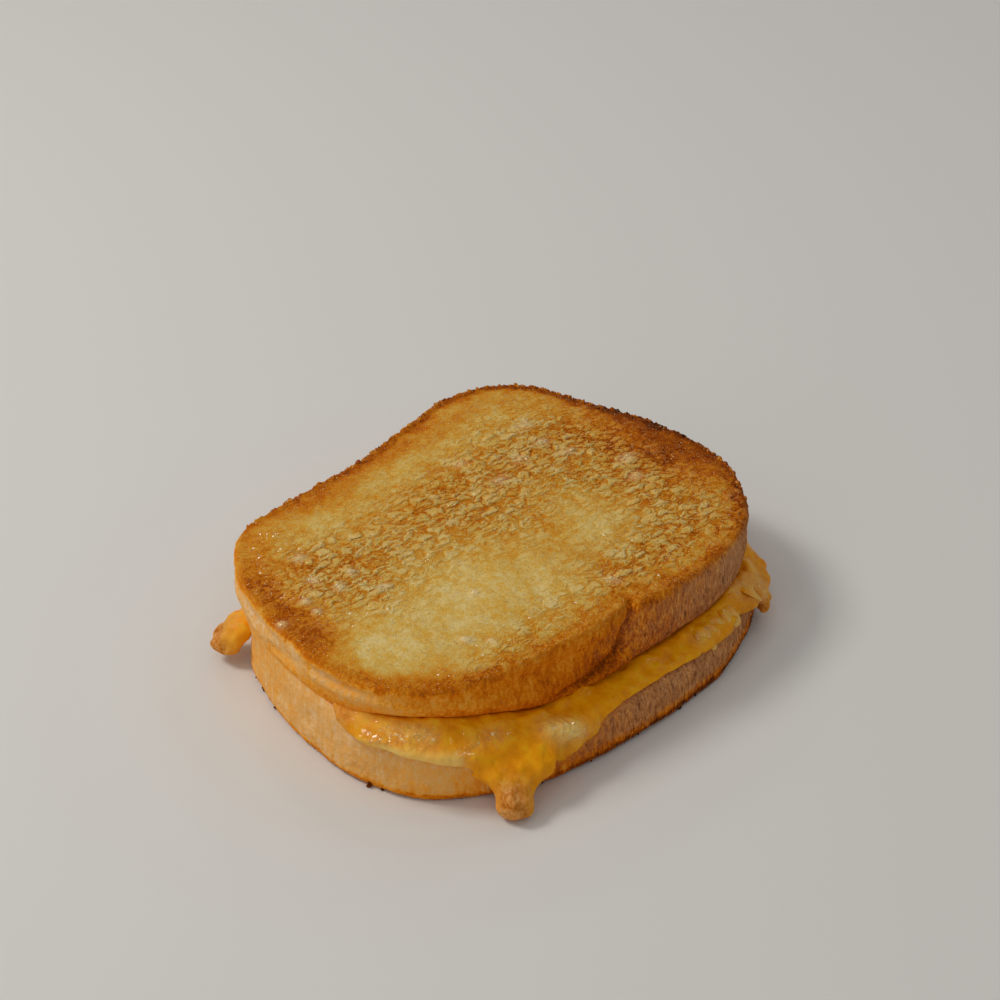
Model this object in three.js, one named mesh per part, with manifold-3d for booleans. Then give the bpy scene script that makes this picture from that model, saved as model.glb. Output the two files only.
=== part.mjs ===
// A grilled cheese sandwich: two toasted slices of tin loaf with a melted cheese layer between them.
// Millimetres. +Y points to the loaf's domed crown, +X across the slice, +Z up. It lies flat on z = 0.
import * as THREE from "three";
import { mergeVertices } from "three/addons/utils/BufferGeometryUtils.js";
import Module from "manifold-3d";

const wasm = await Module();
wasm.setup();

// ---- driving dimensions ----

const sidesOfSlice = 88; // points round each slice
const sidesOfCheese = 112; // points round the cheese sheet
const gap = 0.3; // clearance between pieces that touch

// The slice seen from above: right side, ear, crown, ear, left side, base.
const sliceOutline = [
  [46, 0], [47.6, 18], [47.4, 32], [42, 48.5], [25, 63], [3, 66.5], [-21, 62], [-42, 56],
  [-51, 40], [-49.5, 18], [-47.5, 0], [-48, -24], [-46.5, -42], [-33, -54], [-14, -60.5],
  [4, -63.5], [19, -61.5], [31, -53.5], [39.5, -36], [43.5, -18],
];
const slip = new THREE.Vector2(7, -0.6); // the lower slice has slid this far under the upper one
const twist = 3.5; // and turned by this many degrees
// It was pressed wider or narrower than the upper one, as [angle, millimetres].
const lowerSpread = [[-150, 1], [-135, 1.5], [-121, 0.7], [-103, 1.2], [-86, 0.9], [-73, -0.4],
  [-60, -1.6], [-42, 0.6], [-22, 1.6], [0, 2.2], [20, 2], [34, -0.4], [49, -1.8], [70, -1.2], [110, -1],
  [165, 0.4]];

// Heights round the slices, as [angle in degrees from +X, millimetres].
const faceHeights = [[-150, 29], [-115, 28.8], [-70, 29.2], [-35, 30], [0, 30.3], [35, 29.6], [90, 29.4],
  [150, 29]];
const upperSeamHeights = [[-160, 14.5], [-142, 14], [-130, 14.4], [-118, 17], [-84, 17.6], [-72, 19],
  [-60, 19.4], [-50, 17.2], [-41, 14.8], [-33, 12.8], [-16, 12.6], [0, 12], [30, 12.2], [60, 12.6],
  [100, 13.6], [150, 14.5]];
const lowerSeamHeights = [[-160, 13], [-142, 12], [-130, 11.4], [-118, 16], [-84, 16.4], [-72, 14.4],
  [-58, 13.4], [-45, 12.4], [-20, 11.6], [0, 11.2], [30, 9.8], [60, 10], [100, 11.2], [150, 12.4]];
const faceDome = 1.3; // how far the middle of the toasted face stands above its rim
const sheetTop = 15.2; // upper side of the cheese in the middle of the sandwich
const sheetBottom = 12.2; // its lower side there
const leastCheese = 1.6; // the two slices are never nearer than this where the cheese runs between them
const faceMargin = 7; // width of the band inside the outline where the rim is rounded
const footRound = 1.8; // rounding of the lower slice's bottom edge
const rimInset = 2.6; // from the outline in to where the toasted face begins
const rimDrop = 0.15; // the face's rim lies this far below the face height
const faceLift = 0.3; // and the band inside it this far above

// The crusts' profiles, as [share of the wall's height, millimetres outwards], from the bottom up.
const upperWall = [[0.02, -2.4], [0.09, -0.6], [0.22, 0.5], [0.4, 0.3], [0.58, -0.1], [0.76, 0], [0.9, -0.9]];
const lowerWall = [[0.07, -0.6], [0.2, 0.2], [0.42, 0.6], [0.66, 0.5], [0.84, -0.1], [0.95, -1.1]];
const joinedSeam = { upperShare: 0.3, lowerShare: 0.7, outwards: 0.3, shoulder: 1 }; // where there is no seam
const shoulderInset = 3; // rounding of the lower slice's top edge
const underRise = 0.8; // the upper slice's underside lies this far above its seam, just inside it
const footBand = 3; // width of the lower slice's flat band inside its foot
const pressedBand = 8; // and of the band of its top that the upper slice presses down

// Waves of the surfaces: height and wave length in millimetres, and a phase.
const upperCrustWaves = { height: 0.6, wave: 24, phase: 0.4 };
const lowerCrustWaves = { height: 0.5, wave: 26, phase: 1.7 };
const faceWaves = [{ height: 0.35, wave: 31, phase: 1.1 }, { height: 0.2, wave: 13, phase: 2.3 }];
const cheeseWaves = { height: 0.5, wave: 15, phase: 0.9 };

// Along the base the two crusts have grown together: 1 where no seam is left between them.
const joined = [[-160, 0], [-140, 0.1], [-125, 0.7], [-112, 1], [-92, 1], [-78, 0], [0, 0], [90, 0]];

// The crease in the upper slice's right side: from the rim down, and along the seam to the near corner.
const fold = {
  rimAngle: 2.4, seamAngle: -36, bend: 3.2, depth: 2.4, width: 3, lip: 1, fade: 0.3,
  hollow: 1.6, hollowAngle: -30, hollowSpread: 16, skirt: 1.7, skirtSpread: 24,
  millimetresPerDegree: 0.8, shareAtRim: 0.6,
};

// How far the cheese stands out past the slice that reaches furthest, as [angle, millimetres].
const cheeseStand = [[-160, -3], [-142, -2], [-130, -1], [-118, -4], [-87, -3], [-78, 1.9], [-60, 1.2],
  [-50, 2], [-38, 2.8], [-27, 3.2], [-20, 1.8], [-8, 0.6], [10, 0], [35, 0.4], [48, 1.2], [62, -1],
  [100, -1.6], [150, -3]];
// How far its edge hangs below the lower slice's seam.
const cheeseHang = [[-160, 1], [-65, 1], [-57, 3], [-51, 7.5], [-46, 10], [-38, 10], [-30, 9.6], [-26, 7.5],
  [-22, 3], [-17, 1], [45, 1]];
const cheeseSpill = 1.5; // thickness of the cheese that lies on the lower slice's ledge
// The sheet's edge in section, as [millimetres inside its reach, share of its height].
const cheeseLip = [[3.6, 0.04], [1.4, 0.1], [0.3, 0.3], [0, 0.6], [0.7, 0.86], [2.2, 1]];
const tuck = { leastInset: 1.6, fromReach: 3.4, rise: 1 }; // its upper side goes in under the upper slice
const sheetMargin = 10; // width of the band round the sheet that its edge is shaped in
const overlap = 2; // the sheet is made this much too thick each way, and the bread's room is then cut out

// Runs of melted cheese: points from inside the seam to the tip, the half width and half depth at each.
const frontDrip = {
  path: [[26, -30, 14], [39, -40, 13], [46, -44.5, 9], [50.6, -48.2, 4.4], [54, -51.6, 2.6]],
  halfWidth: [10, 13, 10.5, 5.4, 4.7],
  halfDepth: [1.6, 2.4, 3, 3.6, 3.8],
};
const leftBlob = {
  path: [[-28, -38, 12.6], [-36, -46.5, 11], [-39, -51.4, 8], [-40.8, -53.6, 4.2], [-40.8, -53.8, 3]],
  halfWidth: [3.5, 4.5, 5, 5.2, 4.4],
  halfDepth: [1.2, 1.8, 3.2, 4, 3.6],
};
const rightFlap = {
  path: [[36, 36, 12.4], [42, 43, 12], [47, 47.6, 10], [48.6, 48.8, 6], [48.4, 48.4, 2.2]],
  halfWidth: [6, 7, 6.5, 5.5, 4],
  halfDepth: [1.4, 1.8, 1.9, 1.8, 1.4],
};
const airAbove = { width: 200, height: 40 }; // block of space that the cheese is kept in
const runSection = 16; // points round a run of cheese
const runSteps = 14; // steps along it
const smallestEnd = 0.04; // share of a section's area that is left at a rounded end
const endCap = 0.6; // and how far the cap stands out past it
const aboveTable = 0.05; // the tips of the runs are flattened this far above the table

// ---- small helpers ----

const smooth = (t) => t * t * (3 - 2 * t);
const mix = (a, b, t) => a + (b - a) * t;
const bell = (x) => Math.exp(-x * x);

// A value read round the slice from a table of [angle, value], eased between its entries.
function around(table, angle) {
  const count = table.length;
  for (let i = 0; i < count; i++) {
    const [a, va] = table[i];
    const [b, vb] = table[(i + 1) % count];
    const span = (b - a + 360) % 360;
    const along = (angle - a + 720) % 360;
    if (along <= span) return mix(va, vb, smooth(along / span));
  }
  return table[0][1];
}

// Gentle unevenness of bread and cheese: two crossed waves and a finer one at half their height.
function unevenness(x, y, { height, wave, phase }) {
  const k = (2 * Math.PI) / wave;
  const crossed = Math.sin(k * (x + 0.6 * y) + phase) * Math.cos(k * (0.8 * y - 0.3 * x) - 2 * phase);
  const fine = Math.sin(k * 1.7 * (0.5 * x - y) + 3 * phase) / 2;
  return (height * (crossed + fine)) / 1.5;
}

function mean(values) {
  return values.reduce((sum, value) => sum + value, 0) / values.length;
}

// Points round the outline with their outward normals and their angle about the slice's middle.
function outlineRing(count) {
  const corners = sliceOutline.map(([x, y]) => new THREE.Vector3(x, y, 0));
  const curve = new THREE.CatmullRomCurve3(corners, true, "centripetal");
  const ring = [];
  for (let i = 0; i < count; i++) {
    const point = curve.getPointAt(i / count);
    const tangent = curve.getTangentAt(i / count);
    ring.push({
      x: point.x,
      y: point.y,
      outX: tangent.y,
      outY: -tangent.x,
      angle: THREE.MathUtils.radToDeg(Math.atan2(point.y, point.x)),
    });
  }
  return ring;
}

// The point of the ring moved outwards, then drawn in to the middle by a share.
function shifted(spot, outwards, share, z) {
  const x = (spot.x + spot.outX * outwards) * share;
  const y = (spot.y + spot.outY * outwards) * share;
  return new THREE.Vector3(x, y, z);
}

const middleAt = (z) => new THREE.Vector3(0, 0, z);

// A closed solid from rings that run from the underside's middle, up the wall, to the top's middle.
function loft(rings, bottom, top) {
  const count = rings[0].length;
  const points = [bottom, ...rings.flat(), top];
  const last = points.length - 1;
  const at = (j, i) => 1 + j * count + (i % count);
  const faces = [];
  for (let i = 0; i < count; i++) {
    faces.push(0, at(0, i + 1), at(0, i));
    faces.push(last, at(rings.length - 1, i), at(rings.length - 1, i + 1));
    for (let j = 0; j + 1 < rings.length; j++) {
      faces.push(at(j, i), at(j, i + 1), at(j + 1, i + 1));
      faces.push(at(j, i), at(j + 1, i + 1), at(j + 1, i));
    }
  }
  const geometry = new THREE.BufferGeometry();
  geometry.setFromPoints(points);
  geometry.setIndex(faces);
  return geometry;
}

function toSolid(geometry) {
  const merged = mergeVertices(geometry, 1e-4);
  const vertProperties = new Float32Array(merged.getAttribute("position").array);
  const triVerts = new Uint32Array(merged.getIndex().array);
  return new wasm.Manifold(new wasm.Mesh({ numProp: 3, vertProperties, triVerts }));
}

function toGeometry(solid) {
  const mesh = solid.getMesh();
  const geometry = new THREE.BufferGeometry();
  geometry.setAttribute("position", new THREE.BufferAttribute(new Float32Array(mesh.vertProperties), 3));
  geometry.setIndex(new THREE.BufferAttribute(new Uint32Array(mesh.triVerts), 1));
  return geometry;
}

// ---- bread ----

// Offset of the upper slice's right side by its crease, at a height share from seam 0 to rim 1.
function foldOffset(angle, share) {
  const creaseAngle = mix(fold.rimAngle, fold.seamAngle, (1 - share) ** fold.bend);
  const distance = (angle - creaseAngle) * fold.millimetresPerDegree;
  const crease = -fold.depth * bell(distance / fold.width);
  const lip = fold.lip * bell((distance - 2 * fold.width) / fold.width);
  const fromHollow = angle - fold.hollowAngle;
  const hollow = -fold.hollow * bell(fromHollow / fold.hollowSpread) * Math.sin(Math.PI * share);
  const skirt = fold.skirt * bell(fromHollow / fold.skirtSpread) * (1 - share) ** 2;
  const fadeAtSeam = smooth(Math.min(1, share / fold.fade));
  return (crease + lip) * fadeAtSeam + hollow + skirt;
}

// The upper slice. A swell above 0 gives the same slice that much larger, to cut its room out of the cheese.
function upperSlice(swell) {
  const ring = outlineRing(sidesOfSlice);
  const seamHeight = (spot) => around(upperSeamHeights, spot.angle) - swell;
  const faceHeight = (spot) => around(faceHeights, spot.angle) + swell;
  const meanFace = mean(ring.map(faceHeight));
  const underside = sheetTop + gap - swell;
  const under = (share) => ring.map((spot) => {
    return shifted(spot, -faceMargin, share, mix(underside, seamHeight(spot) + underRise, smooth(share)));
  });
  const wall = upperWall.map(([share, outwards]) => ring.map((spot) => {
    const z = mix(seamHeight(spot), faceHeight(spot), share);
    const bulge = unevenness(spot.x, spot.y + 3 * z, upperCrustWaves);
    const together = share < joinedSeam.upperShare ? around(joined, spot.angle) : 0;
    const edge = mix(outwards, joinedSeam.outwards, together);
    return shifted(spot, edge + bulge + foldOffset(spot.angle, share) + swell, 1, z);
  }));
  const rim = ring.map((spot) => {
    const dent = fold.shareAtRim * foldOffset(spot.angle, 1);
    return shifted(spot, dent + swell - rimInset, 1, faceHeight(spot) - rimDrop);
  });
  const face = (share) => ring.map((spot) => {
    const flat = shifted(spot, -faceMargin, share, 0);
    const waves = faceWaves.reduce((sum, wave) => sum + unevenness(flat.x, flat.y, wave), 0);
    const dome = faceDome * (1 - share * share);
    return flat.setZ(mix(meanFace, faceHeight(spot), smooth(share)) + faceLift + dome + waves);
  });
  const rings = [...[0.35, 0.7, 1].map(under), ...wall, rim, ...[1, 0.82, 0.6, 0.35].map(face)];
  return loft(rings, middleAt(underside), middleAt(meanFace + faceLift + faceDome));
}

// The lower slice, flat underneath. Its crust is squeezed a little wider at half height.
function lowerSlice(swell) {
  const ring = outlineRing(sidesOfSlice).map((spot) => {
    const spread = around(lowerSpread, spot.angle);
    return { ...spot, x: spot.x + spot.outX * spread, y: spot.y + spot.outY * spread };
  });
  const together = (spot) => around(joined, spot.angle);
  const seamHeight = (spot) => around(lowerSeamHeights, spot.angle) + swell;
  const under = (share) => ring.map((spot) => shifted(spot, -footRound - footBand, share, -swell));
  const foot = ring.map((spot) => shifted(spot, swell - footRound, 1, -swell));
  const wall = lowerWall.map(([share, outwards]) => ring.map((spot) => {
    const z = mix(-swell, seamHeight(spot), share);
    const bulge = unevenness(spot.x, spot.y + 3 * z, lowerCrustWaves);
    const edge = mix(outwards, joinedSeam.outwards, share > joinedSeam.lowerShare ? together(spot) : 0);
    return shifted(spot, edge + bulge + swell, 1, z);
  }));
  const shoulder = ring.map((spot) => {
    const inset = mix(shoulderInset, joinedSeam.shoulder, together(spot));
    return shifted(spot, swell - inset, 1, seamHeight(spot));
  });
  // Under the upper slice's edge the crumb is pressed down, which leaves room for the cheese.
  const pressed = (spot) => {
    const roof = around(upperSeamHeights, spot.angle) - leastCheese * (1 - together(spot));
    return Math.min(seamHeight(spot), roof + swell);
  };
  const top = sheetBottom - gap + swell;
  const over = (share) => ring.map((spot) => {
    return shifted(spot, -pressedBand, share, mix(top, pressed(spot), smooth(share)));
  });
  const rings = [...[0.4, 0.8, 1].map(under), foot, ...wall, shoulder, ...[1, 0.7, 0.35].map(over)];
  const geometry = loft(rings, middleAt(-swell), middleAt(top));
  return geometry.rotateZ(THREE.MathUtils.degToRad(twist)).translate(slip.x, slip.y, 0);
}

// ---- cheese ----

// The sheet between the slices, with a rounded edge that stands out where it was squeezed.
function cheeseSheet() {
  const ring = outlineRing(sidesOfCheese);
  const edge = (spot) => {
    const ledge = Math.max(0, slip.x * spot.outX + slip.y * spot.outY);
    const lumps = unevenness(spot.x, spot.y, cheeseWaves);
    const seam = around(lowerSeamHeights, spot.angle);
    return {
      reach: ledge + around(cheeseStand, spot.angle) + lumps,
      low: seam - around(cheeseHang, spot.angle),
      crest: seam + cheeseSpill + lumps / 2,
      roof: around(upperSeamHeights, spot.angle) + tuck.rise,
    };
  };
  const top = sheetTop + overlap;
  const bottom = sheetBottom - overlap;
  const innerTop = (share) => ring.map((spot) => {
    return shifted(spot, -sheetMargin, share, mix(top, edge(spot).roof, smooth(share)));
  });
  const innerBottom = (share) => ring.map((spot) => {
    const floor = around(lowerSeamHeights, spot.angle) - overlap;
    return shifted(spot, -sheetMargin, share, mix(bottom, floor, smooth(share)));
  });
  const lip = cheeseLip.map(([inwards, share]) => ring.map((spot) => {
    const { reach, low, crest } = edge(spot);
    return shifted(spot, reach - inwards, 1, mix(low, crest, share));
  }));
  const tucked = ring.map((spot) => {
    const { reach, roof } = edge(spot);
    return shifted(spot, Math.min(-tuck.leastInset, reach - tuck.fromReach), 1, roof);
  });
  const rings = [innerBottom(0.5), innerBottom(1), ...lip, tucked, innerTop(1), innerTop(0.5)];
  return loft(rings, middleAt(bottom), middleAt(top));
}

// A run of melted cheese along a path, flattened to the given half width and half depth.
function cheeseRun({ path, halfWidth, halfDepth }) {
  const curve = new THREE.CatmullRomCurve3(path.map((p) => new THREE.Vector3(...p)), false, "centripetal");
  const read = (list, t) => {
    const place = t * (list.length - 1);
    const i = Math.min(Math.floor(place), list.length - 2);
    return mix(list[i], list[i + 1], smooth(place - i));
  };
  const [tipX, tipY] = path.at(-1);
  const across = new THREE.Vector3(-tipY, tipX, 0).normalize(); // level, and at right angles to the way out
  const rings = [];
  for (let j = 0; j <= runSteps; j++) {
    const t = j / runSteps;
    const tangent = curve.getTangent(t);
    const outOf = new THREE.Vector3().crossVectors(tangent, across).normalize();
    const roundEnds = Math.sqrt(Math.max(smallestEnd, 1 - (2 * t - 1) ** 6));
    const centre = curve.getPoint(t);
    const ring = [];
    for (let i = 0; i < runSection; i++) {
      const turn = (2 * Math.PI * i) / runSection;
      const point = centre.clone();
      point.addScaledVector(across, Math.cos(turn) * read(halfWidth, t) * roundEnds);
      point.addScaledVector(outOf, Math.sin(turn) * read(halfDepth, t) * roundEnds);
      ring.push(point);
    }
    rings.push(ring);
  }
  const end = (t, side) => curve.getPoint(t).addScaledVector(curve.getTangent(t), endCap * side);
  return loft(rings, end(0, -1), end(1, 1));
}

// All the cheese in one piece, cut to the room that the bread and the table leave.
function melt() {
  const roomForBread = toSolid(upperSlice(gap)).add(toSolid(lowerSlice(gap)));
  const { width, height } = airAbove;
  const slab = new THREE.BoxGeometry(width, width, height).translate(0, 0, height / 2 + aboveTable);
  slab.deleteAttribute("normal");
  slab.deleteAttribute("uv");
  return [frontDrip, leftBlob, rightFlap]
    .map((run) => toSolid(cheeseRun(run)))
    .reduce((body, run) => body.add(run), toSolid(cheeseSheet()))
    .subtract(roomForBread)
    .intersect(toSolid(slab));
}

// ---- the sandwich ----

const toast = new THREE.MeshStandardMaterial({ color: 0xd79a45, roughness: 0.62, metalness: 0 });
const cheese = new THREE.MeshStandardMaterial({ color: 0xe9a21c, roughness: 0.28, metalness: 0 });

function piece(name, geometry, material) {
  const mesh = new THREE.Mesh(geometry, material);
  mesh.name = name;
  return mesh;
}

const sandwich = new THREE.Group();
sandwich.add(
  piece("bread_bottom", lowerSlice(0), toast),
  piece("cheese", toGeometry(melt()), cheese),
  piece("bread_top", upperSlice(0), toast),
);

// The origin goes to the middle of the sandwich's own box, at the level it rests on.
const box = new THREE.Box3().setFromObject(sandwich);
const middleOfBox = box.getCenter(new THREE.Vector3());
sandwich.position.set(-middleOfBox.x, -middleOfBox.y, -box.min.z);

export default sandwich;
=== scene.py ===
import bmesh
import bpy
import math
import random
from mathutils import Euler, Matrix, Vector, kdtree, noise


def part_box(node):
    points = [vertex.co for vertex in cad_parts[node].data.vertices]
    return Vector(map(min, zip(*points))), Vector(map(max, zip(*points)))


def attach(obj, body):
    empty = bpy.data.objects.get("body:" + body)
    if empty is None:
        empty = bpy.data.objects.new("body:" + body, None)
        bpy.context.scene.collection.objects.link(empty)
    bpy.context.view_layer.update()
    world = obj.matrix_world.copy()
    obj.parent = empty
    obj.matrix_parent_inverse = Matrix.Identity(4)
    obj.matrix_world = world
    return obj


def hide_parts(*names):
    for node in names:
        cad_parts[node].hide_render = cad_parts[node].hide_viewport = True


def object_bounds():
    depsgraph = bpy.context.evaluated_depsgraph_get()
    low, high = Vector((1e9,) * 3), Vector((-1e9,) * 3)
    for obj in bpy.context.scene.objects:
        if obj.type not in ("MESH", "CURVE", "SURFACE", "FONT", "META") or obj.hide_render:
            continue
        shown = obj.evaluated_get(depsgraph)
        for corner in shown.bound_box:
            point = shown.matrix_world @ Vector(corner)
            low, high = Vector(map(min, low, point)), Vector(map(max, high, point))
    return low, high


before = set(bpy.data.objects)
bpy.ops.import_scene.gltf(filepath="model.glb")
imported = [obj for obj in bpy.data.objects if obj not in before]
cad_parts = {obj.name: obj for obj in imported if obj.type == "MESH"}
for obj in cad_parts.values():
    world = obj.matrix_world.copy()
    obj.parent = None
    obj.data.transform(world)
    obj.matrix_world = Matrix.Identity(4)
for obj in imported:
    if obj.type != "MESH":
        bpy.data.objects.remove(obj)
cadBox = [list(corner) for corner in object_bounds()]
mm = 0.001
print("frame loaded:", ", ".join(sorted(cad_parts)))


# helpers for shapes: lengths in millimetres, angles in degrees

def mix(a, b, t):
    return a + (b - a) * t


def ramp(low, high, value):
    t = min(1.0, max(0.0, (value - low) / (high - low)))
    return t * t * (3 - 2 * t)


def bell(distance, width):
    return math.exp(-((distance / width) ** 2))


def around(table, angle):
    # rows of [angle, value, value, ...] all the way round, eased from each row to the next
    for here, after in zip(table, table[1:] + table[:1]):
        span = (after[0] - here[0]) % 360
        along = (angle - here[0]) % 360
        if along <= span:
            t = ramp(0, span, along)
            return [mix(a, b, t) for a, b in zip(here[1:], after[1:])]
    return table[0][1:]


def blot(x, y, spots):
    # sum of soft ovals [x, y, half width, half height, turn, amount]
    total = 0.0
    for cx, cy, rx, ry, turn, amount in spots:
        c, s = math.cos(math.radians(turn)), math.sin(math.radians(turn))
        u = ((x - cx) * c + (y - cy) * s) / rx
        v = ((y - cy) * c - (x - cx) * s) / ry
        square = u * u + v * v
        if square < 5:
            total += amount * math.exp(-square)
    return total


def addObject(name, mesh):
    piece = bpy.data.objects.new(name, mesh)
    bpy.context.scene.collection.objects.link(piece)
    return piece


def bake(piece):
    graph = bpy.context.evaluated_depsgraph_get()
    mesh = bpy.data.meshes.new_from_object(piece.evaluated_get(graph))
    piece.modifiers.clear()
    piece.data = mesh


def workingCopy(node, name, look):
    # a copy of the solid, rounded off and cut into small even faces
    bm = bmesh.new()
    bm.from_mesh(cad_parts[node].data)
    bmesh.ops.remove_doubles(bm, verts=bm.verts, dist=0.02 * mm)
    bmesh.ops.join_triangles(
        bm, faces=bm.faces, angle_face_threshold=math.radians(50), angle_shape_threshold=math.radians(60)
    )
    mesh = bpy.data.meshes.new(name)
    bm.to_mesh(mesh)
    bm.free()
    piece = addObject(name, mesh)
    rounding = piece.modifiers.new("rounding", "SUBSURF")
    rounding.levels = rounding.render_levels = 2
    if "swell" in look:
        swell = piece.modifiers.new("swell", "DISPLACE")
        swell.strength = look["swell"] * mm
        swell.mid_level = 0
    even = piece.modifiers.new("even", "REMESH")
    even.mode = "VOXEL"
    even.voxel_size = look["faceSize"] * mm
    soften = piece.modifiers.new("soften", "SMOOTH")
    soften.iterations = look["softening"]
    bake(piece)
    return piece


def closeHidden(bm, isHidden):
    # the part of a surface that lies inside the sandwich becomes one face
    hidden = [f for f in bm.faces if isHidden(f.calc_center_median() / mm, f.normal)]
    bmesh.ops.delete(bm, geom=hidden, context="FACES")
    edges = [e for e in bm.edges if e.is_boundary]
    filled = bmesh.ops.holes_fill(bm, edges=edges, sides=0)
    bmesh.ops.triangulate(bm, faces=filled["faces"])


def keepInBox(bm):
    # nothing stands out past the solids' own box
    low, high = cadBox
    for vert in bm.verts:
        for axis in range(3):
            vert.co[axis] = min(high[axis], max(low[axis], vert.co[axis]))


def finishPiece(piece, node, material):
    piece.data.materials.clear()
    piece.data.materials.append(material)
    for polygon in piece.data.polygons:
        polygon.use_smooth = True
    if node:
        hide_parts(node)
    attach(piece, "root")
    print(piece.name, len(piece.data.polygons), "faces")


# node maths, for materials and for relief alike: sizes in millimetres

class Wire:
    def __init__(self, tree, socket=None):
        self.tree = tree
        self.socket = socket

    def plug(self, entry, value):
        if isinstance(value, Wire):
            self.tree.links.new(value.socket, entry)
        elif isinstance(value, tuple) and entry.type == "RGBA":
            entry.default_value = (*value, 1)
        else:
            entry.default_value = value

    def node(self, kind, settings=None, inputs=None, output=0):
        made = self.tree.nodes.new(kind if kind.startswith("Geometry") else "ShaderNode" + kind)
        for name, value in (settings or {}).items():
            if name == "stops":
                elements = made.color_ramp.elements
                while len(elements) < len(value):
                    elements.new(1)
                for element, (place, tone) in zip(elements, value):
                    element.position = place
                    element.color = (*tone, 1)
            else:
                setattr(made, name, value)
        for name, value in (inputs or {}).items():
            self.plug(made.inputs[name], value)
        return Wire(self.tree, made.outputs[output])

    def also(self, output):
        # another output of the node that made this value
        return Wire(self.tree, self.socket.node.outputs[output])

    def math(self, operation, *values):
        return self.node("Math", {"operation": operation}, dict(enumerate(values)))

    def __add__(self, other):
        return self.math("ADD", self, other)

    __radd__ = __add__

    def __mul__(self, other):
        return self.math("MULTIPLY", self, other)

    __rmul__ = __mul__

    def __sub__(self, other):
        return self.math("SUBTRACT", self, other)

    def __rsub__(self, other):
        return self.math("SUBTRACT", other, self)

    def between(self, low, high):
        # 0 at low and 1 at high, eased
        settings = {"interpolation_type": "SMOOTHSTEP"}
        return self.node("MapRange", settings, {"Value": self, "From Min": low, "From Max": high})

    def toward(self, other, share):
        return self + (other - self) * share

    def vector(self, operation, other):
        return self.node("VectorMath", {"operation": operation}, {0: self, 1: other})

    def part(self, axis):
        return self.node("SeparateXYZ", {}, {0: self}, axis)

    def blend(self, tone, share, way="MIX"):
        # this colour with another laid over it by a share
        return self.node("Mix", {"data_type": "RGBA", "blend_type": way}, {0: share, 6: self, 7: tone}, 2)

    def place(self):
        # where on the piece, in millimetres
        if self.tree.type == "GEOMETRY":
            spot = self.node("GeometryNodeInputPosition")
        else:
            spot = self.node("TexCoord", output="Object")
        return spot.vector("MULTIPLY", (1000, 1000, 1000))

    def attribute(self, name):
        if self.tree.type == "GEOMETRY":
            return self.node("GeometryNodeInputNamedAttribute", {"data_type": "FLOAT"}, {"Name": name})
        return self.node("Attribute", {"attribute_name": name}, output="Fac")

    def grain(self, size, detail=2.0, roughness=0.5):
        # this place's noise, from -0.5 to 0.5, with bumps of this size or of these three sizes
        x, y, z = size if isinstance(size, tuple) else (size, size, size)
        spot = self.vector("MULTIPLY", (1 / x, 1 / y, 1 / z))
        inputs = {"Vector": spot, "Scale": 1, "Detail": detail, "Roughness": roughness}
        return self.node("TexNoise", {}, inputs) - 0.5


def screen(red, green, blue):
    # a colour as it shows on a screen, 0 to 255, as a linear one
    return tuple(((c / 255 + 0.055) / 1.055) ** 2.4 if c > 10 else c / 3295 for c in (red, green, blue))


def newMaterial(name):
    material = bpy.data.materials.new(name)
    material.use_nodes = True
    return material, Wire(material.node_tree)


def shaderOf(material):
    return material.node_tree.nodes["Principled BSDF"].inputs


def addRelief(piece, heightOf, look):
    # moves the surface along its normal by a height field, the same one that the material uses
    tree = bpy.data.node_groups.new(piece.name + "Relief", "GeometryNodeTree")
    for way in ("INPUT", "OUTPUT"):
        tree.interface.new_socket("Geometry", in_out=way, socket_type="NodeSocketGeometry")
    entry = tree.nodes.new("NodeGroupInput")
    leave = tree.nodes.new("NodeGroupOutput")
    wire = Wire(tree)
    height = heightOf(wire, look)["height"]
    normal = wire.node("GeometryNodeInputNormal")
    offset = wire.node("VectorMath", {"operation": "SCALE"}, {0: normal, "Scale": height * mm})
    surface = Wire(tree, entry.outputs[0])
    moved = wire.node("GeometryNodeSetPosition", {}, {"Geometry": surface, "Offset": offset})
    tree.links.new(moved.socket, leave.inputs[0])
    piece.modifiers.new("relief", "NODES").node_group = tree
    bake(piece)
    bm = bmesh.new()
    bm.from_mesh(piece.data)
    keepInBox(bm)
    bm.to_mesh(piece.data)
    bm.free()


# bread: the toasted faces and the crusts

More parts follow.
